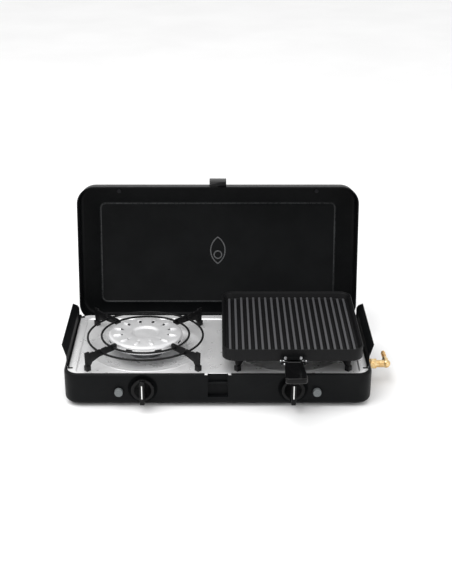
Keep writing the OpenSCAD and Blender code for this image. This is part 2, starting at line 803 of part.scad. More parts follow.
module lid_hinge_leaves() {
    color(steel_black) on_open_lid() for (s = [-1, 1]) {
        x = s * hinge_x;
        difference() {
            union() {
                hinge_strap(x, hinge_z + 2.6, lid_z + 34);
                facing_right(x - 7.8, hinge_y, hinge_z) cylinder(r = knuckle_r, h = 15.6);
                translate([x - 7.8, back_y + clear, hinge_z]) cube([15.6, leaf_t, 4]);
            }
            translate([x - 17, back_y - 1, hinge_z - 4]) cube([9.1, 12, 8]);
            translate([x + 7.9, back_y - 1, hinge_z - 4]) cube([9.1, 12, 8]);
            facing_right(x - 20, hinge_y, hinge_z) cylinder(r = hinge_pin_r + clear, h = 40);
            for (dz = [14, 26], dx = [-rivet_dx, rivet_dx]) facing_front(x + dx, back_y + 5, lid_z + dz)
                cylinder(r = 1.65, h = 8, $fn = 24);
        }
    }
}

module base_hinge_leaves() {
    color(steel_black) for (s = [-1, 1]) {
        x = s * hinge_x;
        difference() {
            union() {
                hinge_strap(x, case_z + 12, hinge_z - 3.8);
                for (e = [-1, 1]) {
                    facing_right(x + e * 12 - 4, hinge_y, hinge_z) cylinder(r = knuckle_r, h = 8);
                    translate([x + e * 12 - 4, back_y + clear, hinge_z - 5]) cube([8, leaf_t, 5]);
                }
            }
            facing_right(x - 20, hinge_y, hinge_z) cylinder(r = hinge_pin_r + clear, h = 40);
            for (dx = [-rivet_dx, rivet_dx]) facing_front(x + dx, back_y + 5, case_z + 20)
                cylinder(r = 1.65, h = 8, $fn = 24);
        }
    }
}

module hinge_pins() {
    color(stainless) for (s = [-1, 1])
        facing_right(s * hinge_x - 17, hinge_y, hinge_z) cylinder(r = hinge_pin_r, h = 34);
}

module hinge_rivets() {
    color(stainless) for (s = [-1, 1], dx = [-rivet_dx, rivet_dx])
        facing_front(s * hinge_x + dx, back_y + leaf_t + 1.1, case_z + 20)
            cylinder(r = rivet_head_r, h = 1, $fn = 32);
}

module latch_lug() {
    color(plastic_black) on_open_lid() difference() {
        union() {
            translate([-lug_w / 2, latch_y, latch_z - 5]) cube([lug_w, front_y - latch_y - clear, 10]);
            facing_right(-lug_w / 2, latch_y, latch_z) cylinder(r = 5, h = lug_w);
            translate([-14, front_y - 1.5 - clear, latch_z + 6.4]) cube([28, 1.5, 14]);
            translate([-lug_w / 2, front_y - 1.5 - clear, latch_z + 4]) cube([lug_w, 1.5, 4]);
        }
        facing_right(-10, latch_y, latch_z) cylinder(r = latch_pin_r + clear, h = 20);
    }
}

module lid_latch() {
    cheek = (latch_w - lug_w) / 2 - 0.5;
    nose = [[4.5, -36], [-1, -38], [-6, -36], [-11, -20], [-11, -8]];
    color(plastic_black) on_open_lid() difference() {
        union() {
            for (x = [-latch_w / 2, lug_w / 2 + 0.5])
                translate([x, latch_y, latch_z]) rotate([90, 0, 90]) linear_extrude(cheek) {
                    circle(r = 5);
                    polygon(concat([[-5, 0], [5, 0]], nose));
                }
            translate([-latch_w / 2, latch_y, latch_z]) rotate([90, 0, 90]) linear_extrude(latch_w)
                polygon(concat([[-1, -8], [-1, -30], [4.5, -33]], nose));
        }
        facing_right(-20, latch_y, latch_z) cylinder(r = latch_pin_r + clear, h = 40);
    }
}

module latch_pin() {
    color(stainless) on_open_lid() facing_right(-latch_w / 2, latch_y, latch_z)
        cylinder(r = latch_pin_r, h = latch_w);
}

module lid_buffers() {
    color(rubber) on_open_lid() for (s = [-1, 1])
        translate([s * 200, front_y + 14, lid_top - sheet - 3]) cylinder(r = 4, h = 3, $fn = 32);
}

base_shell();
hob_plate();
latch_keeper();
feet();
foot_screws();
manifold_pipe();
valve(-1);  // left_valve
valve(1);  // right_valve
injector(-1);  // left_injector
injector(1);  // right_injector
mixing_tube(-1);  // left_mixing_tube
mixing_tube(1);  // right_mixing_tube
burner_body(-1);  // left_burner_body
burner_body(1);  // right_burner_body
burner_cap(-1);  // left_burner_cap
burner_cap(1);  // right_burner_cap
electrode(-1);  // left_electrode
electrode(1);  // right_electrode
igniter_lead(-1);  // left_igniter_lead
igniter_lead(1);  // right_igniter_lead
igniter_body(-1);  // left_igniter_body
igniter_body(1);  // right_igniter_body
igniter_button(-1);  // left_igniter_button
igniter_button(1);  // right_igniter_button
spindle(-1);  // left_spindle
spindle(1);  // right_spindle
knob(-1);  // left_knob
knob(1);  // right_knob
knob_mark(-1);  // left_knob_mark
knob_mark(1);  // right_knob_mark
inlet_locknut();
inlet_union();
inlet_elbow();
stand_arms(-1);  // left_stand_arms
stand_rings(-1);  // left_stand_rings
stand_arms(1);  // right_stand_arms
stand_rings(1);  // right_stand_rings
grill_pan();
pan_bracket();
bracket_rivets();
handle_bail();
handle_grip();
shield(-1);  // left_shield
shield(1);  // right_shield
shield_rod(-1);  // left_shield_rod
shield_rod(1);  // right_shield_rod
shield_ears();
lid_shell();
lid_hinge_leaves();
base_hinge_leaves();
hinge_pins();
hinge_rivets();
latch_lug();
lid_latch();
latch_pin();
lid_buffers();
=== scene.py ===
# %% [markdown]
# # A two-burner camping stove
# A flat steel case holds the gas train. A stainless hob covers it, two burners stand in pressed
# wells, and a lid, two wind shields, two pot stands and a grill pan move on it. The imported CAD
# model is the frame: it gives every size, place and joint. This script gives each piece its
# finish, and models again those whose pressed and moulded shapes CAD keeps plain.

# %% Load the frame
import json
import math

import bpy
from mathutils import Matrix, Vector


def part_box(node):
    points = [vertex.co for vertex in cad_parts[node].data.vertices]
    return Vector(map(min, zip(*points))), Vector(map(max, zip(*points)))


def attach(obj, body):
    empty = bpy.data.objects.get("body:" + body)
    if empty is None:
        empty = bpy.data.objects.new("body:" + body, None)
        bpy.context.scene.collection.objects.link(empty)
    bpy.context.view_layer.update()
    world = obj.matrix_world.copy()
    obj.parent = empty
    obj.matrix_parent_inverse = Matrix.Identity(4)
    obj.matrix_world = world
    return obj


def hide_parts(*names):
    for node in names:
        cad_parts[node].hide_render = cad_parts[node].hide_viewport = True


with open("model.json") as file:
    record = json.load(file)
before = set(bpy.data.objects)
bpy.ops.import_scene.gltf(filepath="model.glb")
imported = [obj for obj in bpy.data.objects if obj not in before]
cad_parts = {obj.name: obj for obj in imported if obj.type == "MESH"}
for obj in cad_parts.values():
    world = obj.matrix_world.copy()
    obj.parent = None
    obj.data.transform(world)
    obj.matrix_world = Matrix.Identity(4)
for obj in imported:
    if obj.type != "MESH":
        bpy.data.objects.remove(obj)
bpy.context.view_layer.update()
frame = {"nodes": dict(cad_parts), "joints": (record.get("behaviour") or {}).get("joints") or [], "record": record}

MM = 0.001

# %% [markdown]
# ## Camera
# The camera looks down on the stove from over two metres away with a short telephoto lens, so
# that the sides stay nearly upright. It aims at the foot of the stove, and its lens is shifted
# up, as on a view camera, to take in the open lid.

# %% Camera
CAMERA_DISTANCE = 2301 * MM
CAMERA_RISE = math.radians(26.53)
CAMERA_AIM = Vector((0, 0, 5 * MM))
camera_data = bpy.data.cameras.new("camera")
camera_data.lens = 73.8
camera_data.sensor_width = 36
camera_data.shift_x = 0.0139
camera_data.shift_y = 0.136
camera_data.clip_end = 50
camera = bpy.data.objects.new("camera", camera_data)
camera_side = Vector((0, -math.cos(CAMERA_RISE), math.sin(CAMERA_RISE)))
camera.location = CAMERA_AIM + CAMERA_DISTANCE * camera_side
camera.rotation_euler = (math.pi / 2 - CAMERA_RISE, 0, 0)
bpy.context.collection.objects.link(camera)
bpy.context.scene.camera = camera
print("camera at", [round(v, 3) for v in camera.location])

# %% [markdown]
# ## Modelling helpers
# Everything is made as by hand: add a primitive, pick faces or edges by where they are, and run
# an edit-mode tool on them. An operator acts on all that is selected, so each step first lets
# go of everything. A finished piece keeps its place in its mesh, with its object at the origin.

# %% Selection helpers


def let_go():
    """Leaves edit mode and deselects every object."""
    if bpy.context.object and bpy.context.object.mode != "OBJECT":
        bpy.ops.object.mode_set(mode="OBJECT")
    bpy.ops.object.select_all(action="DESELECT")


def hold(piece):
    """Makes piece the only selected object, and the active one."""
    let_go()
    piece.select_set(True)
    bpy.context.view_layer.objects.active = piece


def pick(piece, kind, test):
    """Opens piece in edit mode with the faces, edges or vertices chosen for which test is true.
    A test is given the middle in millimetres and the normal, or an edge's direction."""
    hold(piece)
    bpy.ops.object.mode_set(mode="EDIT")
    bpy.ops.mesh.select_mode(type=kind)
    bpy.ops.mesh.select_all(action="DESELECT")
    bpy.ops.object.mode_set(mode="OBJECT")
    mesh = piece.data
    if kind == "FACE":
        for face in mesh.polygons:
            face.select = test(face.center / MM, face.normal)
    elif kind == "EDGE":
        for edge in mesh.edges:
            a, b = (mesh.vertices[i].co for i in edge.vertices)
            edge.select = test((a + b) / 2 / MM, (b - a).normalized())
    else:
        for vertex in mesh.vertices:
            vertex.select = test(vertex.co / MM, vertex.normal)
    bpy.ops.object.mode_set(mode="EDIT")


def upright(middle, direction):
    """True for an edge that runs along Z."""
    return abs(direction.z) > 0.99


def near(value, target, slack=0.05):
    """True if two lengths in millimetres agree."""
    return abs(value - target) < slack


# %% Piece helpers


def settle(name):
    """Names the new primitive and moves its place into its mesh."""
    piece = bpy.context.object
    piece.name = name
    piece.data.name = name
    bpy.ops.object.transform_apply(location=True, rotation=True, scale=True)
    return piece


def block(name, low, high):
    """A box from its lowest to its highest corner, in millimetres."""
    let_go()
    low, high = Vector(low) * MM, Vector(high) * MM
    bpy.ops.mesh.primitive_cube_add(size=1, location=(low + high) / 2, scale=high - low)
    return settle(name)


def drum(name, radius, length, start, axis, sides=64):
    """A cylinder that starts at a point and runs along axis, in millimetres."""
    let_go()
    axis = Vector(axis)
    middle = (Vector(start) + axis * length / 2) * MM
    bpy.ops.mesh.primitive_cylinder_add(
        vertices=sides, radius=radius * MM, depth=length * MM, location=middle,
        rotation=axis.to_track_quat("Z", "Y").to_euler())
    return settle(name)


def spun(name, profile, place, axis=(0, 0, 1), out=(1, 0, 0), steps=96):
    """Spins a profile of (radius, height) points, in millimetres, round axis through place."""
    place, axis, out = Vector(place), Vector(axis), Vector(out)
    points = [(place + out * r + axis * h) * MM for r, h in profile]
    let_go()
    bpy.ops.mesh.primitive_plane_add(size=MM, location=points[0])
    piece = settle(name)
    bpy.ops.object.mode_set(mode="EDIT")
    bpy.ops.mesh.select_mode(type="VERT")
    bpy.ops.mesh.select_all(action="SELECT")
    bpy.ops.mesh.merge(type="CENTER")
    for a, b in zip(points, points[1:]):
        bpy.ops.mesh.extrude_region_move(TRANSFORM_OT_translate={"value": b - a})
    bpy.ops.mesh.select_all(action="SELECT")
    bpy.ops.mesh.spin(steps=steps, angle=math.tau, center=place * MM, axis=axis)
    bpy.ops.mesh.select_all(action="SELECT")
    bpy.ops.mesh.remove_doubles(threshold=0.01 * MM)
    bpy.ops.mesh.normals_make_consistent(inside=False)
    bpy.ops.object.mode_set(mode="OBJECT")
    return piece


def modified(piece, kind, **settings):
    """Adds a modifier with its settings and applies it."""
    hold(piece)
    modifier = piece.modifiers.new(kind.lower(), kind)
    for key, value in settings.items():
        setattr(modifier, key, value)
    bpy.ops.object.modifier_apply(modifier=modifier.name)


def rounded(piece, width, segments=2, angle=32):
    """Rounds the sharp edges of piece, as a press or a mould leaves them."""
    modified(piece, "BEVEL", width=width * MM, segments=segments, limit_method="ANGLE",
             angle_limit=math.radians(angle), miter_outer="MITER_ARC")


def cut(piece, *tools):
    """Cuts the tools out of piece."""
    for tool in tools:
        modified(piece, "BOOLEAN", operation="DIFFERENCE", object=tool, solver="EXACT")
        bpy.data.objects.remove(tool)


def joined(name, *parts):
    """Makes several parts one piece."""
    hold(parts[0])
    for part in parts[1:]:
        part.select_set(True)
    bpy.ops.object.join()
    parts[0].name = name
    parts[0].data.name = name
    return parts[0]


def copied(piece, name, matrix):
    """A copy of piece with a mesh of its own, moved by matrix."""
    copy = piece.copy()
    copy.data = piece.data.copy()
    copy.name = name
    copy.data.name = name
    copy.data.transform(matrix)
    if matrix.determinant() < 0:
        copy.data.flip_normals()
    bpy.context.collection.objects.link(copy)
    return copy


def moved(x, y, z):
    """A move in millimetres."""
    return Matrix.Translation(Vector((x, y, z)) * MM)


def turned(degrees, axis, place):
    """A turn round an axis through a place in millimetres."""
    there = Matrix.Translation(Vector(place) * MM)
    return there @ Matrix.Rotation(math.radians(degrees), 4, axis) @ there.inverted()


def softened(node, width, segments=2, angle=32):
    """A copy of a CAD node, welded, with the sharp edges rounded."""
    source = frame["nodes"][node]
    piece = source.copy()
    piece.data = source.data.copy()
    piece.parent = None
    piece.matrix_world = Matrix.Identity(4)
    piece.name = node + "_finished"
    piece.data.name = piece.name
    bpy.context.collection.objects.link(piece)
    hold(piece)
    bpy.ops.object.mode_set(mode="EDIT")
    bpy.ops.mesh.select_all(action="SELECT")
    bpy.ops.mesh.remove_doubles(threshold=0.005 * MM)
    bpy.ops.mesh.dissolve_limited(angle_limit=math.radians(0.5))
    bpy.ops.object.mode_set(mode="OBJECT")
    if piece.data.has_custom_normals:
        bpy.ops.mesh.customdata_custom_splitnormals_clear()
    rounded(piece, width, segments, angle)
    return piece


def corners_mm(node):
    """The lowest and highest corner of a CAD node in millimetres."""
    low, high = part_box(node)
    return Vector(low) / MM, Vector(high) / MM


body_of_node = {n: b for b, ns in frame["record"]["behaviour"]["bodies"].items() for n in ns}
slot_of_node = {s["node"]: s["material_slot"] for s in frame["record"]["subparts"]}


def hand_over(piece, finish, *nodes, smooth=32):
    """Gives piece its finish, and lets it ride and stand for the CAD nodes it replaces.
    A finish of None keeps those it has."""
    hold(piece)
    bpy.ops.object.shade_smooth_by_angle(angle=math.radians(smooth))
    if finish:
        piece.data.materials.clear()
        piece.data.materials.append(finish)
    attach(piece, body_of_node[nodes[0]])
    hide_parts(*nodes)
    print(piece.name, len(piece.data.polygons), "faces")


# %% [markdown]
# ## Materials
# Each finish is a Principled BSDF with noise that varies it at a real scale, in millimetres.
# Noise on Object coordinates needs no unwrapping, and because every piece has its place in its
# mesh, the pattern has the same scale everywhere.

# %% Material helpers


def linear(code):
    """Turns an sRGB hex value into the linear colour that a shader works in."""
    channels = [int(code[i:i + 2], 16) / 255 for i in (1, 3, 5)]
    return [c / 12.92 if c <= 0.04045 else ((c + 0.055) / 1.055) ** 2.4 for c in channels] + [1]


def node(finish, kind, links=None, **settings):
    """Adds a shader node. Links gives each named or numbered input a value or an output."""
    new = finish.node_tree.nodes.new("ShaderNode" + kind)
    for key, value in settings.items():
        setattr(new, key, value)
    for key, value in (links or {}).items():
        if isinstance(value, bpy.types.NodeSocket):
            finish.node_tree.links.new(value, new.inputs[key])
        else:
            new.inputs[key].default_value = value
    return new


def finish_named(name, **constants):
    """A new material, its shader, and Object coordinates. Constants go on the shader's sockets."""
    finish = bpy.data.materials.new(name)
    finish.use_nodes = True
    shader = finish.node_tree.nodes["Principled BSDF"]
    for key, value in constants.items():
        shader.inputs[key.replace("_", " ")].default_value = value
    place = node(finish, "TexCoord").outputs["Object"]
    return finish, shader, place


def noise(finish, place, grain_mm, stretch=(1, 1, 1), detail=3.0, roughness=0.55):
    """Noise whose lumps are about grain_mm across, drawn out along the axes by stretch."""
    scale = [1 / s for s in stretch]
    where = node(finish, "Mapping", {"Vector": place, "Scale": scale}).outputs["Vector"]
    return node(finish, "TexNoise", {"Vector": where, "Scale": 1 / (grain_mm * MM),
                                     "Detail": detail, "Roughness": roughness}).outputs["Fac"]


def tint(finish, shader, amount, low, high, span=(0.35, 0.65)):
    """Varies the base colour between two hex values as amount goes across span."""
    ramp = node(finish, "ValToRGB", {"Fac": amount})
    for stop, at, code in zip(ramp.color_ramp.elements, span, (low, high)):
        stop.position = at
        stop.color = linear(code)
    finish.node_tree.links.new(ramp.outputs["Color"], shader.inputs["Base Color"])


def gloss(finish, shader, amount, low, high):
    """Varies the roughness between two values."""
    spread = node(finish, "MapRange", {"Value": amount, "From Min": 0.3, "From Max": 0.7,
                                       "To Min": low, "To Max": high})
    finish.node_tree.links.new(spread.outputs["Result"], shader.inputs["Roughness"])


def relief(finish, shader, amount, height_mm, strength=1.0):
    """Raises the surface by height_mm where amount is 1, as a bump."""
    bump = node(finish, "Bump", {"Height": amount, "Distance": height_mm * MM,
                                 "Strength": strength})
    finish.node_tree.links.new(bump.outputs["Normal"], shader.inputs["Normal"])


# %% [markdown]
# ### Powder-coated steel
# The case and lid are pressed steel with a black polyester powder coat, sprayed dry and baked.
# It flows out into a fine orange peel about a millimetre across, satin rather than glossy, and
# so dark that only its sheen shows the shape. A low specular level keeps it from going grey.
# Along the lid's pressed line the sloping faces get a glossier coat whose lighter colour is a painted highlight,
# the light that the line catches.

# %% Powder coat
powder_coat, shader, place = finish_named("powder_coated_steel", Metallic=0.0, Specular_IOR_Level=0.08)
peel = noise(powder_coat, place, 1.3, detail=2.0)
tint(powder_coat, shader, noise(powder_coat, place, 60.0), "#0b0c0d", "#101112")
gloss(powder_coat, shader, noise(powder_coat, place, 9.0), 0.36, 0.46)
relief(powder_coat, shader, peel, 0.035)
# A second, lighter coat: its colour is a painted highlight for the lid's pressed line.
highlight_coat, shader, place = finish_named("powder_coat_painted_highlight", Metallic=0.0, Specular_IOR_Level=0.3)
tint(highlight_coat, shader, noise(highlight_coat, place, 40.0), "#1c1d1e", "#2e3031")
gloss(highlight_coat, shader, noise(highlight_coat, place, 9.0), 0.22, 0.34)
print("finishes:", powder_coat.name, highlight_coat.name)

# %% [markdown]
# ### Brushed stainless steel
# The hob is 430 stainless, pressed from sheet with a fine satin grain along its length. The
# grain is long thin scratches, so the noise is drawn out eighty times along X. The sheet is
# slightly uneven where it was pressed, which a second, broad noise shows in the roughness. Satin
# steel scatters light from all round, where a pure metal would mirror the dark lid behind it, so
# Metallic is only half.

# %% Brushed stainless
brushed_steel, shader, place = finish_named("brushed_stainless", Metallic=0.5)
grain = noise(brushed_steel, place, 0.7, stretch=(80, 1, 1), detail=4.0)
tint(brushed_steel, shader, grain, "#f0f0f1", "#f8f8f8")
gloss(brushed_steel, shader, noise(brushed_steel, place, 22.0), 0.26, 0.34)
print("finish:", brushed_steel.name)

# %% [markdown]
# ### Bright stainless steel
# The burner caps are deep-drawn and polished, so they show broad soft reflections and only a
# trace of the marks of the drawing tool, as a faint unevenness. Metallic is lowered as on the
# hob, and the colour is a little darker.

# %% Bright stainless
bright_steel, shader, place = finish_named("polished_stainless", Metallic=0.45)
tint(bright_steel, shader, noise(bright_steel, place, 30.0), "#d2d2d3", "#dcdcdd")
gloss(bright_steel, shader, noise(bright_steel, place, 14.0), 0.28, 0.38)
relief(bright_steel, shader, noise(bright_steel, place, 16.0, detail=1.0), 0.04)
print("finish:", bright_steel.name)

# %% [markdown]
# ### Plain steel and chrome
# Screws, rivets, rods and the mixing tubes are zinc-plated or plain stainless, slightly dull.
# The pan's bail is chromed wire and the burner bowls are pressed steel with a matt skin.

# %% Steel fittings
plated_steel, shader, place = finish_named("zinc_plated_steel", Metallic=1.0)
tint(plated_steel, shader, noise(plated_steel, place, 3.0), "#b9babd", "#cfd0d1")
gloss(plated_steel, shader, noise(plated_steel, place, 1.5), 0.24, 0.40)

chrome, shader, place = finish_named("chromed_wire", Metallic=1.0)
tint(chrome, shader, noise(chrome, place, 5.0), "#d6d7d9", "#e3e4e6")
gloss(chrome, shader, noise(chrome, place, 2.0), 0.07, 0.16)

bowl_steel, shader, place = finish_named("pressed_burner_steel", Metallic=0.9)
tint(bowl_steel, shader, noise(bowl_steel, place, 8.0), "#8e8f91", "#b0b1b3")
gloss(bowl_steel, shader, noise(bowl_steel, place, 4.0), 0.32, 0.5)
relief(bowl_steel, shader, noise(bowl_steel, place, 0.8), 0.02)
print("finishes:", plated_steel.name, chrome.name, bowl_steel.name)

# %% [markdown]
# ### Brass
# The inlet fittings are turned from free-cutting brass bar. Fresh brass is pale gold, and its
# turning marks are fine rings, too fine to show, so a small noise breaks up the reflection.
# Handling leaves it slightly redder in patches.

# %% Brass
brass, shader, place = finish_named("turned_brass", Metallic=1.0)
tint(brass, shader, noise(brass, place, 7.0), "#d2a96e", "#ead3a2")
gloss(brass, shader, noise(brass, place, 1.2), 0.20, 0.36)
relief(brass, shader, noise(brass, place, 0.6), 0.015)
print("finish:", brass.name)

# %% [markdown]
# ### Vitreous enamel
# The pot stands are dipped in black enamel and fired. Enamel is glass, so it is glossier than
# paint, and it pools slightly, which leaves a gentle waviness a few millimetres across.

# %% Enamel
enamel, shader, place = finish_named("black_enamel", Metallic=0.0, Specular_IOR_Level=0.15)
tint(enamel, shader, noise(enamel, place, 12.0), "#0c0c0d", "#141415")
gloss(enamel, shader, noise(enamel, place, 3.0), 0.26, 0.42)
relief(enamel, shader, noise(enamel, place, 2.5, detail=1.0), 0.06)
print("finish:", enamel.name)

# %% [markdown]
# ### Non-stick cast aluminium
# The grill pan is cast aluminium with a sprayed fluoropolymer coat. The coat is matt dark grey
# and the casting under it is faintly pebbled. The rib tops are painted lighter, a painted highlight
# where they face the light from above: the mask is the faces that look up in the band of heights,
# in millimetres above the pan's foot, where the ribs end.

# %% Non-stick coat
nonstick, shader, place = finish_named("nonstick_cast_aluminium", Metallic=0.0, Specular_IOR_Level=0.12)
RIB_TOP_FROM = 11
RIB_TOP_FULL = 14
RIB_TOP_FADE = 16
RIB_TOP_END = 18
pan_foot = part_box("grill_pan")[0][2]
height = node(nonstick, "SeparateXYZ", {"Vector": place}).outputs["Z"]
normal = node(nonstick, "TexCoord").outputs["Normal"]
upward = node(nonstick, "SeparateXYZ", {"Vector": normal}).outputs["Z"]
risen = node(nonstick, "MapRange", {"Value": height, "From Min": pan_foot + RIB_TOP_FROM * MM,
                                    "From Max": pan_foot + RIB_TOP_FULL * MM}).outputs["Result"]
sunk = node(nonstick, "MapRange", {"Value": height, "From Min": pan_foot + RIB_TOP_END * MM,
                                   "From Max": pan_foot + RIB_TOP_FADE * MM}).outputs["Result"]
flat = node(nonstick, "MapRange", {"Value": upward, "From Min": 0.4, "From Max": 0.9}).outputs["Result"]
band = node(nonstick, "Math", {0: risen, 1: sunk}, operation="MULTIPLY").outputs["Value"]
painted_top_highlight = node(nonstick, "Math", {0: band, 1: flat}, operation="MULTIPLY").outputs["Value"]
# The lighter colour on the upward rib tops is a painted highlight.
tint(nonstick, shader, painted_top_highlight, "#111112", "#4c4c4e", span=(0.1, 0.9))
gloss(nonstick, shader, noise(nonstick, place, 5.0), 0.40, 0.54)
relief(nonstick, shader, noise(nonstick, place, 0.9), 0.03)
print("finish:", nonstick.name)

# %% [markdown]
# ### Moulded plastics
# Knobs, latch and grip are phenolic resin, pressed hot in a polished tool: black, hard and
# glossy. The igniter parts are a matt glass-filled nylon with a fine eroded texture.

# %% Plastics
phenolic, shader, place = finish_named("black_phenolic", Metallic=0.0, Specular_IOR_Level=0.16)
tint(phenolic, shader, noise(phenolic, place, 9.0), "#070708", "#0b0b0c")
gloss(phenolic, shader, noise(phenolic, place, 9.0), 0.10, 0.18)
relief(phenolic, shader, noise(phenolic, place, 14.0, detail=0.0), 0.03)

grey_nylon, shader, place = finish_named("grey_nylon", Metallic=0.0, Specular_IOR_Level=0.4)
tint(grey_nylon, shader, noise(grey_nylon, place, 2.0), "#5f6364", "#6e7273")
gloss(grey_nylon, shader, noise(grey_nylon, place, 1.0), 0.42, 0.56)
relief(grey_nylon, shader, noise(grey_nylon, place, 0.5), 0.02)

black_nylon, shader, place = finish_named("black_nylon", Metallic=0.0, Specular_IOR_Level=0.35)
tint(black_nylon, shader, noise(black_nylon, place, 2.0), "#151516", "#1f2021")
gloss(black_nylon, shader, noise(black_nylon, place, 1.0), 0.45, 0.6)
relief(black_nylon, shader, noise(black_nylon, place, 0.5), 0.02)
print("finishes:", phenolic.name, grey_nylon.name, black_nylon.name)

# %% [markdown]
# ### Small finishes
# The knob's line is white paint filled into a groove. The electrodes are glazed alumina, their
# leads silicone rubber, and the feet and buffers black nitrile rubber. The lid's raised flame is a
# lighter grey, a painted highlight for the glint of its strokes, smooth and a little glossier than the coat under
# it.

# %% Small finishes
white_paint, shader, place = finish_named("white_paint_fill", Metallic=0.0)
tint(white_paint, shader, noise(white_paint, place, 1.5), "#e6e6e4", "#f4f4f2")
gloss(white_paint, shader, noise(white_paint, place, 0.8), 0.4, 0.55)

alumina, shader, place = finish_named("glazed_alumina", Metallic=0.0, Coat_Weight=0.5)
tint(alumina, shader, noise(alumina, place, 3.0), "#dcd7cb", "#ece8de")
gloss(alumina, shader, noise(alumina, place, 1.5), 0.18, 0.3)

silicone, shader, place = finish_named("red_silicone", Metallic=0.0)
tint(silicone, shader, noise(silicone, place, 3.0), "#8e2a22", "#a63a30")
gloss(silicone, shader, noise(silicone, place, 1.0), 0.5, 0.62)

rubber, shader, place = finish_named("black_rubber", Metallic=0.0, Specular_IOR_Level=0.3)
tint(rubber, shader, noise(rubber, place, 3.0), "#17171a", "#202024")
gloss(rubber, shader, noise(rubber, place, 1.2), 0.62, 0.78)
relief(rubber, shader, noise(rubber, place, 0.7), 0.03)

# The flame's lighter grey is a painted highlight on its raised strokes.
flame_highlight_grey, shader, place = finish_named("grey_painted_highlight", Metallic=0.0, Specular_IOR_Level=0.4)
tint(flame_highlight_grey, shader, noise(flame_highlight_grey, place, 4.0), "#4a4b4c", "#5c5d5e")
gloss(flame_highlight_grey, shader, noise(flame_highlight_grey, place, 1.5), 0.22, 0.34)
print("finishes:", white_paint.name, alumina.name, silicone.name, rubber.name, flame_highlight_grey.name)

# %% [markdown]
# ### Finishes on the frame
# Every CAD node names the material slot it belongs to, and the nodes that stay as CAD made them
# get their finish by that name. It is linked to the object, which leaves the node's mesh alone.

# %% Finish for each slot
SLOT_FINISH = {
    "powder_coated_steel": powder_coat, "stainless_hob": brushed_steel,
    "stainless_burner": bright_steel, "stainless_fittings": plated_steel,
    "pressed_steel_burner": bowl_steel, "chromed_wire": chrome, "brass": brass,
    "enamelled_wire": enamel, "nonstick_cast_aluminium": nonstick, "black_phenolic": phenolic,
    "grey_plastic": grey_nylon, "black_plastic": black_nylon, "white_inlay": white_paint,
    "ceramic": alumina, "silicone_lead": silicone, "rubber": rubber,
}
for name, part in frame["nodes"].items():
    for index in range(len(part.material_slots)):
        part.material_slots[index].link = "OBJECT"
        part.material_slots[index].material = SLOT_FINISH[slot_of_node[name]]
print("finishes on", len(frame["nodes"]), "CAD nodes")

# %% [markdown]
# ## Hob
# The hob is one pressed sheet: a flat border on the tray's ledge, a step down to the field, and
# two round wells. It starts as the top face of a block whose upright edges are rounded. That
# face is inset and stretched to the field's outline, and a second inset with a depth makes the
# step. The field gets a round hole for each well, and two tabs hook over the rim beside the
# latch's recess.

# %% Hob sheet
HOB_CORNER = 21.6
HOB_SHEET = 1.0
HOB_STEP = 1.5
STEP_RUN = 1.6
FIELD_SIDE = 16
FIELD_FRONT = 3
FIELD_INSET = 11.6
TAB_IN = 18.5
TAB_OUT = 24
TAB_LEN = 6.2
WELL_R = 106
WELL_DROP = 11
BURNER = Vector((136, -14.5, 0))
hob_low, hob_high = corners_mm("hob_plate")
field_z = hob_high.z - HOB_STEP

hob = block("hob_sheet", (hob_low.x, -hob_high.y, field_z - 5), hob_high)
pick(hob, "EDGE", upright)
bpy.ops.mesh.bevel(offset=HOB_CORNER * MM, segments=12, affect="EDGES")
let_go()
pick(hob, "FACE", lambda middle, normal: normal.z < 0.9)
bpy.ops.mesh.delete(type="FACE")
let_go()
pick(hob, "FACE", lambda middle, normal: True)
bpy.ops.mesh.inset(thickness=FIELD_INSET * MM)
field_w = 2 * (hob_high.x - FIELD_SIDE)
field_d = 2 * hob_high.y - FIELD_SIDE - FIELD_FRONT
wanted = (field_w / (2 * (hob_high.x - FIELD_INSET)), field_d / (2 * (hob_high.y - FIELD_INSET)), 1)
bpy.ops.transform.resize(value=wanted, center_override=(0, 0, 0))
bpy.ops.transform.translate(value=(0, (FIELD_FRONT - FIELD_SIDE) / 2 * MM, 0))
bpy.ops.mesh.inset(thickness=STEP_RUN * MM, depth=-HOB_STEP * MM)
let_go()
print("pressed sheet", len(hob.data.polygons), "faces")
rounded(hob, 0.8, 4)
modified(hob, "SOLIDIFY", thickness=HOB_SHEET * MM, offset=-1)
tabs = []
for side in (-1, 1):
    hole = drum("hole", WELL_R, 6, (side * BURNER.x, BURNER.y, field_z - 4), (0, 0, 1), 128)
    cut(hob, hole)
    near_x, far_x = sorted((side * TAB_IN, side * TAB_OUT))
    tab = block("tab", (near_x, hob_low.y, hob_high.z - 1.2),
                (far_x, hob_low.y + TAB_LEN, hob_high.z - 0.2))
    rounded(tab, 0.3, 3)
    tabs.append(tab)
print("hob sheet", len(hob.data.polygons), "faces")

# %% [markdown]
# ### Wells
# A well is drawn deep in steps: a curved lip, a shallow slope, a step that the burner stands in
# and a mouth for the burner's neck. Its profile is spun round the burner's axis, which keeps it
# truly round and lets the lip catch the light as a pressed edge does. The spark electrode comes
# up through a small hole. The right-hand well is the left one mirrored.

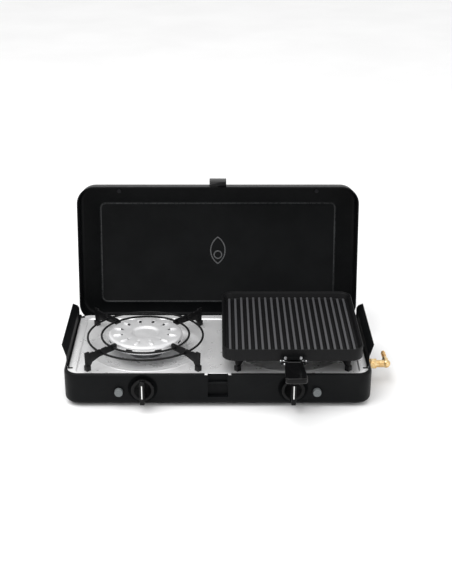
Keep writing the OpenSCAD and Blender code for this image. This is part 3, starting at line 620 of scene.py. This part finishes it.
# %% Wells
WELL_LIP = [(WELL_R + 0.3, -0.4), (WELL_R, -0.05), (WELL_R - 1.5, -0.25), (WELL_R - 4, -1.0),
            (WELL_R - 8, -2.9), (WELL_R - 13, -5.2), (WELL_R - 17, -6.5), (WELL_R - 21, -7.0)]
WELL_STEP = [(82, -7.1), (80, -7.5), (78.6, -8.6), (77.6, -10.0), (76.2, -10.8), (74, -WELL_DROP)]
WELL_MOUTH = [(26, -WELL_DROP), (24.5, -WELL_DROP + 0.4), (24, -WELL_DROP + 1.2)]
well_profile = WELL_LIP + WELL_STEP + WELL_MOUTH
left_well = spun("well", well_profile, (-BURNER.x, BURNER.y, field_z), steps=128)
pick(left_well, "FACE", lambda middle, normal: True)
bpy.ops.mesh.normals_make_consistent(inside=False)
let_go()
modified(left_well, "SOLIDIFY", thickness=0.8 * MM, offset=0)
spark_low, spark_high = corners_mm("left_electrode")
spark_mid = (spark_low + spark_high) / 2
spark_hole = drum("hole", 2.7, 8, (spark_mid.x, spark_mid.y, field_z - 15), (0, 0, 1), 24)
cut(left_well, spark_hole)
right_well = copied(left_well, "right_well", Matrix.Scale(-1, 4, (1, 0, 0)))
hob = joined("hob_sheet", hob, left_well, right_well, *tabs)
hand_over(hob, brushed_steel, "hob_plate", smooth=40)

# %% [markdown]
# ## Burner caps
# A cap is a steel disc drawn into a shallow pan. Its middle is dimpled, twelve louvres round it
# are lanced and raised, and its skirt has eight long flame ports. The disc is spun from its
# profile, because drawn steel is round. One slot and one port are made, and turned copies of
# them are cut out of it.

# %% Burner caps
CAP_R = 70
CAP_SLOTS = 12
CAP_PORTS = 8
SLOT_IN = 43
SLOT_OUT = 59
SLOT_W = 5.2
PORT_W = 14
PORT_LOW = 10.8
PORT_HIGH = 6.2
HOOD_MID = 51.5
HOOD_MOUTH = 47
cap_place = (-BURNER.x, BURNER.y, corners_mm("left_burner_cap")[1].z)
CAP_PROFILE = [
    (0, -2.6), (20, -3.0), (22.6, -2.6), (24.6, -0.9), (26.6, -0.1), (30, 0), (62, -0.5),
    (66, -1.0), (68.4, -2.2), (69.6, -4.2), (CAP_R, -7), (CAP_R, -14), (CAP_R - 1.1, -14),
    (CAP_R - 1.1, -5.4), (67, -3.0), (60, -1.9), (30, -1.3), (26, -1.6), (23, -4.1), (0, -4.2)]
cap = spun("left_cap", CAP_PROFILE, cap_place)


def spread(part, count, place):
    """Copies of part, turned evenly round the vertical through place from half a pitch on.
    Part itself is removed."""
    turns = [turned((i + 0.5) * 360 / count, "Z", place) for i in range(count)]
    copies = [copied(part, part.name, turn) for turn in turns]
    bpy.data.objects.remove(part)
    return copies


x, y, z = cap_place
slot = block("slot", (x + SLOT_IN, y - SLOT_W / 2, z - 6), (x + SLOT_OUT, y + SLOT_W / 2, z + 3))
port = block("port", (x + CAP_R - 4, y - PORT_W / 2, z - PORT_LOW),
             (x + CAP_R + 4, y + PORT_W / 2, z - PORT_HIGH))
pick(port, "EDGE", lambda middle, direction: abs(direction.x) > 0.99)
bpy.ops.mesh.bevel(offset=2.2 * MM, segments=4, affect="EDGES")
let_go()
cut(cap, joined("slots", *spread(slot, CAP_SLOTS, cap_place)))
cut(cap, joined("ports", *spread(port, CAP_PORTS, cap_place)))
print("cap disc", len(cap.data.polygons), "faces")

# %% [markdown]
# ### Louvre hoods
# A lanced louvre is a slit with one side pushed up into a small hood. A sphere that is flattened
# and cut by two planes has that shape with few faces, and Solidify gives it the sheet's
# thickness. It is made once and copied round the cap.

# %% Louvre hoods
let_go()
bpy.ops.mesh.primitive_uv_sphere_add(segments=28, ring_count=14, radius=MM,
                                     location=Vector((x + HOOD_MID, y, z - 0.5)) * MM)
bpy.context.object.scale = (10.5, 5.0, 3.0)
hood = settle("hood")
for normal, at in (((0, 0, -1), (x, y, z - 0.9)), ((-1, 0, 0.25), (x + HOOD_MOUTH, y, z))):
    pick(hood, "FACE", lambda middle, normal: True)
    bpy.ops.mesh.bisect(plane_co=Vector(at) * MM, plane_no=normal, clear_outer=True)
let_go()
modified(hood, "SOLIDIFY", thickness=0.7 * MM, offset=-1)
cap = joined("left_cap", cap, *spread(hood, CAP_SLOTS, cap_place))
rounded(cap, 0.25, 2, 50)
right_cap = copied(cap, "right_cap", moved(2 * BURNER.x, 0, 0))
hand_over(cap, bright_steel, "left_burner_cap", smooth=38)
hand_over(right_cap, bright_steel, "right_burner_cap", smooth=38)

# %% [markdown]
# ## Grill pan
# The pan is a casting, so every edge is round and every wall leans a little to leave the mould.
# It starts as a box whose upright edges are rounded, and the top and underside are inset and
# pushed in, with a small step inside the rim.

# %% Grill pan
PAN_CORNER = 23
PAN_WALL = 4
PAN_RIM = 2.2
PAN_RIM_STEP = 2.2
PAN_FLOOR = 9
PAN_HOLLOW = 6
pan_low, pan_high = corners_mm("grill_pan")
ledge_z = pan_high.z - PAN_RIM_STEP
floor_z = pan_low.z + PAN_FLOOR
pan_mid = (pan_low + pan_high) / 2


def pushed(piece, test, wall, depth, taper=1.0, middle=None):
    """Insets the chosen face by wall and pushes it along its normal by depth, in millimetres."""
    pick(piece, "FACE", test)
    bpy.ops.mesh.inset(thickness=wall * MM)
    bpy.ops.mesh.extrude_region_shrink_fatten(TRANSFORM_OT_shrink_fatten={"value": -depth * MM})
    if taper != 1.0:
        bpy.ops.transform.resize(value=(taper, taper, 1), center_override=Vector(middle) * MM)
    let_go()


def facing_up(z):
    """A test for faces that look up at one height."""
    return lambda middle, normal: normal.z > 0.9 and near(middle.z, z, 0.3)


def facing_down(z):
    """A test for faces that look down at one height."""
    return lambda middle, normal: normal.z < -0.9 and near(middle.z, z, 0.3)


pan = block("grill_pan_body", pan_low, pan_high)
pick(pan, "EDGE", upright)
bpy.ops.mesh.bevel(offset=PAN_CORNER * MM, segments=12, affect="EDGES")
let_go()
pushed(pan, facing_up(pan_high.z), PAN_RIM, PAN_RIM_STEP)
pushed(pan, facing_up(ledge_z), PAN_WALL - PAN_RIM, ledge_z - floor_z, 0.985, pan_mid)
pushed(pan, facing_down(pan_low.z), PAN_WALL, PAN_HOLLOW, 0.99, pan_mid)
rounded(pan, 0.9, 3)
print("pan body", len(pan.data.polygons), "faces")

# %% [markdown]
# ### Pan ribs
# Twenty ribs run from front to back on the floor, a little clear of the walls, and they stop
# shorter by the round corners. Each is a bar whose top is drawn in, as a casting needs, and whose
# edges are then rounded.

# %% Pan ribs
PAN_RIBS = 20
RIB_PITCH = 11.8
RIB_W = 7.2
RIB_H = 4.4
RIB_GAP = 3.2
CORNER_GAP = 9.5
ribs = []
for i in range(PAN_RIBS):
    across = (i - (PAN_RIBS - 1) / 2) * RIB_PITCH
    at_corner = abs(across) > (pan_high.x - pan_low.x) / 2 - 30
    gap = PAN_WALL + (CORNER_GAP if at_corner else RIB_GAP)
    centre = pan_mid.x + across
    rib = block("rib", (centre - RIB_W / 2, pan_low.y + gap, floor_z - 0.6),
                (centre + RIB_W / 2, pan_high.y - gap, floor_z + RIB_H))
    pick(rib, "FACE", facing_up(floor_z + RIB_H))
    rib_mid = Vector((centre, pan_mid.y, 0)) * MM
    bpy.ops.transform.resize(value=(0.62, 0.985, 1), center_override=rib_mid)
    let_go()
    rounded(rib, 0.8, 3)
    ribs.append(rib)
pan = joined("grill_pan_body", pan, *ribs)
hand_over(pan, nonstick, "grill_pan", smooth=40)

# %% [markdown]
# ## Pan handle
# The grip is a phenolic moulding that snaps on the chromed bail. It widens towards its end, has
# a shallow dished top for the thumb, and a soft edge all round. It is laid flat while it is
# shaped, a block with its corners bevelled and its top inset twice.

# %% Grip
GRIP_TILT = -6
GRIP_LEN = 92.6
GRIP_ROOT = 16
GRIP_END = 20
GRIP_UNDER = 1.5
GRIP_OVER = 8.3
BAIL_WIRE_R = 1.6
grip_low, grip_high = corners_mm("handle_grip")
bail_low = corners_mm("handle_bail")[0]
bar = Vector(((grip_low.x + grip_high.x) / 2, bail_low.y + BAIL_WIRE_R, bail_low.z + BAIL_WIRE_R))
grip = block("grip", bar + Vector((-GRIP_ROOT, -GRIP_LEN, -GRIP_UNDER)),
             bar + Vector((GRIP_ROOT, -4, GRIP_OVER)))
pick(grip, "FACE", lambda middle, normal: normal.y < -0.9)
bpy.ops.transform.resize(value=(GRIP_END / GRIP_ROOT, 1, 1), center_override=bar * MM)
let_go()
pick(grip, "EDGE", lambda middle, direction: upright(middle, direction) and middle.y < bar.y - 50)
bpy.ops.mesh.bevel(offset=9 * MM, segments=8, affect="EDGES")
let_go()
pick(grip, "EDGE", lambda middle, direction: upright(middle, direction) and middle.y > bar.y - 10)
bpy.ops.mesh.bevel(offset=2.5 * MM, segments=4, affect="EDGES")
let_go()
pick(grip, "FACE", lambda middle, normal: normal.z > 0.9)
bpy.ops.mesh.inset(thickness=3.2 * MM)
bpy.ops.mesh.inset(thickness=2.6 * MM, depth=-0.9 * MM)
let_go()
rounded(grip, 2.6, 5, 40)
print("grip body", len(grip.data.polygons), "faces")

# %% [markdown]
# ### Grip root
# The wire lies in a round boss at the root, with a neck between the boss and the grip. A block
# cut out of both leaves the upper side of the wire bare, where it snaps in. The whole grip is
# then tilted about the wire, as it sits.

# %% Grip root
BOSS_R = 3.5
BOSS_HALF = 12.8
boss = drum("boss", BOSS_R, 2 * BOSS_HALF, bar - Vector((BOSS_HALF, 0, 0)), (1, 0, 0), 40)
neck = block("neck", bar + Vector((-BOSS_HALF, -7.5, -3.4)), bar + Vector((BOSS_HALF, 0, 3.4)))
for part in (boss, neck):
    cut(part, block("opening", bar + Vector((-20, -3, 0.2)), bar + Vector((20, 8, 12))))
    rounded(part, 0.5, 3)
grip = joined("grip", grip, boss, neck)
grip.data.transform(turned(GRIP_TILT, "X", bar))
hand_over(grip, phenolic, "handle_grip", smooth=40)

# %% [markdown]
# ## Knobs and igniter buttons
# A knob is a disc with a bar across it. The disc's front edge is chamfered and then rounded,
# and the bar leans in towards its front so that it leaves the mould. The button is a plain cap
# with a slightly dished face. Both are made on the left and copied to the right.

# %% Knobs
KNOB_R = 21
KNOB_DISC = 8
BAR_W = 10.5
GROOVE_W = 1.8
knob_low, knob_high = corners_mm("left_knob")
knob_mid = (knob_low + knob_high) / 2
back, front = knob_high.y, knob_low.y
face_y = back - KNOB_DISC


def toward_front(y):
    """A test for faces that look forwards at one depth."""
    return lambda middle, normal: normal.y < -0.9 and near(middle.y, y, 0.2)


disc = drum("disc", KNOB_R, KNOB_DISC, (knob_mid.x, back, knob_mid.z), (0, -1, 0), 96)
pick(disc, "FACE", toward_front(face_y))
bpy.ops.mesh.inset(thickness=1.6 * MM)
bpy.ops.mesh.inset(thickness=4.0 * MM, depth=-0.01 * MM)
bpy.ops.mesh.inset(thickness=1.0 * MM, depth=-0.7 * MM)
let_go()
pick(disc, "EDGE", lambda middle, direction: near(middle.y, face_y, 0.05) and (
    math.hypot(middle.x - knob_mid.x, middle.z - knob_mid.z) > KNOB_R - 0.4))
bpy.ops.mesh.bevel(offset=1.4 * MM, segments=4, affect="EDGES")
let_go()
grip_bar = block("bar", (knob_mid.x - BAR_W / 2, front + 0.3, knob_mid.z - KNOB_R + 0.4),
                 (knob_mid.x + BAR_W / 2, face_y + 1.5, knob_mid.z + KNOB_R - 0.4))
pick(grip_bar, "FACE", toward_front(front + 0.3))
bpy.ops.transform.resize(value=(0.80, 1, 0.97), center_override=knob_mid * MM)
let_go()
rounded(grip_bar, 1.3, 4, 40)
groove = block("groove", (knob_mid.x - GROOVE_W / 2, front - 1, knob_mid.z + 1),
               (knob_mid.x + GROOVE_W / 2, front + 1.2, knob_mid.z + 19))
cut(grip_bar, groove)
left_knob = joined("left_knob_body", disc, grip_bar)
right_knob = copied(left_knob, "right_knob_body", moved(2 * BURNER.x, 0, 0))
hand_over(left_knob, phenolic, "left_knob", smooth=35)
hand_over(right_knob, phenolic, "right_knob", smooth=35)

# %% Igniter buttons
button_low, button_high = corners_mm("left_igniter_button")
button_mid = (button_low + button_high) / 2
BUTTON_R = 7.5
button = drum("left_button", BUTTON_R, button_high.y - button_low.y - 0.2,
              (button_mid.x, button_high.y, button_mid.z), (0, -1, 0), 64)
pick(button, "FACE", toward_front(button_low.y + 0.2))
bpy.ops.mesh.inset(thickness=1.6 * MM)
bpy.ops.mesh.inset(thickness=2.2 * MM, depth=-0.5 * MM)
let_go()
rounded(button, 0.9, 4, 60)
right_button = copied(button, "right_button", moved(-2 * button_mid.x, 0, 0))
hand_over(button, grey_nylon, "left_igniter_button", smooth=35)
hand_over(right_button, grey_nylon, "right_igniter_button", smooth=35)

# %% [markdown]
# ## Lid
# The lid is one pressed sheet with a large corner radius, a rolled top edge, a folded hem and a
# pressed line round its panel. It is modelled closed, where its faces are level and easy to
# pick, hollow side down, and then swung open about the hinge. The panel is an inset of the top,
# moved a little towards the hinge. Its pressed line is two insets more, in and back out.

# %% Lid sheet
LID_OPEN = -102
LID_SHEET = 1.2
LID_DEPTH = 60
LID_GAP = 0.4
LID_CORNER = 34
LID_EDGE = 8
LID_HEM = 2.6
PANEL_IN = 21
PANEL_W = 480
PANEL_D = 206
PANEL_SHIFT = 5
BEAD = 1.4
BEAD_DEPTH = 1.2
lid_joint = next(j for j in frame["joints"] if j["name"] == "lid_hinge")
hinge = Vector(lid_joint["pos_m"]) / MM
tray_low, tray_high = corners_mm("base_shell")
tray_size = tray_high - tray_low
lid_z = tray_high.z + LID_GAP
lid_top = lid_z + LID_DEPTH
swing = turned(LID_OPEN, "X", hinge)

lid = block("lid_sheet", (tray_low.x, tray_low.y, lid_z), (tray_high.x, tray_high.y, lid_top))
for finish in (powder_coat, highlight_coat):
    lid.data.materials.append(finish)
pick(lid, "EDGE", upright)
bpy.ops.mesh.bevel(offset=LID_CORNER * MM, segments=14, affect="EDGES")
let_go()
pick(lid, "FACE", facing_up(lid_top))
bpy.ops.mesh.inset(thickness=PANEL_IN * MM)
shrink = (PANEL_W / (tray_size.x - 2 * PANEL_IN), PANEL_D / (tray_size.y - 2 * PANEL_IN), 1)
bpy.ops.transform.resize(value=shrink, center_override=(0, 0, 0))
bpy.ops.transform.translate(value=(0, PANEL_SHIFT * MM, 0))
bpy.ops.mesh.inset(thickness=BEAD * MM, depth=-BEAD_DEPTH * MM)
bpy.ops.mesh.inset(thickness=BEAD * MM, depth=BEAD_DEPTH * MM)
let_go()
print("lid panel", PANEL_W, "x", PANEL_D, "mm of", [round(v) for v in tray_size.xy])


# %% [markdown]
# ### Lid edge and thickness
# The rolled edge is a bevel of the top's outer edges. It comes after the pressed line, because
# an inset of a face with rolled edges folds over itself. The line's sloping faces get the lighter
# coat of painted highlight, the underside is opened but for a narrow hem, and Solidify gives the sheet its
# thickness.

# %% Lid edge and thickness


def outside(middle, side_x, side_y):
    """True beyond a rectangle round the middle of the lid."""
    return abs(middle.x) > side_x or abs(middle.y) > side_y


RIM_X = 262
RIM_Y = 126
LINE_X = 250
LINE_Y = 118
pick(lid, "EDGE", lambda middle, direction: near(middle.z, lid_top) and outside(middle, RIM_X, RIM_Y))
bpy.ops.mesh.bevel(offset=LID_EDGE * MM, segments=6, affect="EDGES")
let_go()
# The pressed line's sloping faces take the second material, a painted highlight.
for face in lid.data.polygons:
    on_panel = not outside(face.center / MM, LINE_X, LINE_Y)
    face.material_index = int(on_panel and 0.1 < face.normal.z < 0.9)
pick(lid, "FACE", facing_down(lid_z))
bpy.ops.mesh.inset(thickness=LID_HEM * MM)
bpy.ops.mesh.delete(type="FACE")
let_go()
modified(lid, "SOLIDIFY", thickness=LID_SHEET * MM, offset=-1)
rounded(lid, 0.4, 2, 60)
print("lid faces on the pressed line:", sum(f.material_index for f in lid.data.polygons))
lid.data.transform(swing)

# %% [markdown]
# ### Flame motif
# The motif in the middle of the panel is a plain flame: two arcs that meet in points, and a ring
# inside them. It is raised a little and coloured a lighter grey, a painted highlight. Each stroke
# is a thin torus, cut to its arc and half sunk in the sheet.

# %% Flame motif
FLAME_R = 34
FLAME_OFF = 18
RING_R = 9
STROKE_R = 1.3
panel_z = lid_top - LID_SHEET
strokes = []
for side in (-1, 1):
    let_go()
    bpy.ops.mesh.primitive_torus_add(
        major_segments=160, minor_segments=12, major_radius=(FLAME_R - STROKE_R) * MM,
        minor_radius=STROKE_R * MM, location=Vector((-side * FLAME_OFF, 0, panel_z)) * MM)
    stroke = settle("stroke")
    pick(stroke, "FACE", lambda middle, normal: True)
    bpy.ops.mesh.bisect(plane_co=(0, 0, 0), plane_no=(-side, 0, 0), clear_outer=True, use_fill=True)
    let_go()
    strokes.append(stroke)
let_go()
bpy.ops.mesh.primitive_torus_add(
    major_segments=64, minor_segments=12, major_radius=(RING_R - STROKE_R) * MM,
    minor_radius=STROKE_R * MM, location=Vector((0, RING_R, panel_z)) * MM)
strokes.append(settle("stroke"))
flame = joined("flame_motif", *strokes)
flame.data.transform(swing)
hand_over(lid, None, "lid_shell", smooth=40)
hand_over(flame, flame_highlight_grey, "lid_shell", smooth=40)

# %% [markdown]
# ## Pressed and folded parts
# These parts have the right shape in CAD, but real sheet, castings and mouldings have no knife
# edges. A copy of each is welded from the CAD's loose triangles and its sharp edges are rounded
# by the radius that its making leaves: half a millimetre on folded sheet, more on a moulding.

# %% Edges rounded by making
EDGE_RADII = {
    "base_shell": (powder_coat, 0.5), "left_shield": (powder_coat, 0.3),
    "right_shield": (powder_coat, 0.3), "shield_ears": (powder_coat, 0.3),
    "lid_hinge_leaves": (powder_coat, 0.4), "base_hinge_leaves": (powder_coat, 0.4),
    "latch_lug": (phenolic, 0.5), "lid_latch": (phenolic, 1.1),
    "left_stand_arms": (enamel, 0.5), "right_stand_arms": (enamel, 0.5),
    "pan_bracket": (powder_coat, 0.4), "latch_keeper": (powder_coat, 0.25),
    "bracket_rivets": (plated_steel, 0.5), "hinge_rivets": (plated_steel, 0.5),
    "inlet_locknut": (brass, 0.8), "inlet_union": (brass, 0.8), "feet": (rubber, 0.6),
}
for name, (finish, radius) in EDGE_RADII.items():
    hand_over(softened(name, radius, 3), finish, name, smooth=40)

# %% [markdown]
# ## Floor and light
# The stove stands on a plain white table under soft studio light: a bright even surround, a
# large softbox above on the left, and a weaker one in front on the right. The softboxes are
# big, so edges get long soft highlights and shadows stay faint.

# %% Floor
let_go()
bpy.ops.mesh.primitive_plane_add(size=14, location=(0, 2, 0))
table = settle("table_top")
table_white, shader, place = finish_named("white_table", Metallic=0.0, Specular_IOR_Level=0.2)
tint(table_white, shader, noise(table_white, place, 400.0), "#f4f4f4", "#f8f8f8")
gloss(table_white, shader, noise(table_white, place, 90.0), 0.7, 0.8)
table.data.materials.append(table_white)

# %% Light
world = bpy.data.worlds.new("studio")
bpy.context.scene.world = world
world.use_nodes = True
world.node_tree.nodes["Background"].inputs["Color"].default_value = (1, 1, 1, 1)
world.node_tree.nodes["Background"].inputs["Strength"].default_value = 0.95
bpy.context.scene.view_settings.view_transform = "Standard"


def softbox(name, place, aim, width, power):
    """A square area light that looks from place to aim, in metres."""
    data = bpy.data.lights.new(name, "AREA")
    data.size = width
    data.energy = power
    light = bpy.data.objects.new(name, data)
    light.location = place
    light.rotation_euler = (Vector(aim) - Vector(place)).to_track_quat("-Z", "Y").to_euler()
    bpy.context.collection.objects.link(light)


softbox("key", (-0.8, -0.5, 2.4), (0, 0, 0.1), 2.4, 50)
softbox("fill", (1.8, -1.8, 1.2), (0, 0, 0.1), 1.5, 8)
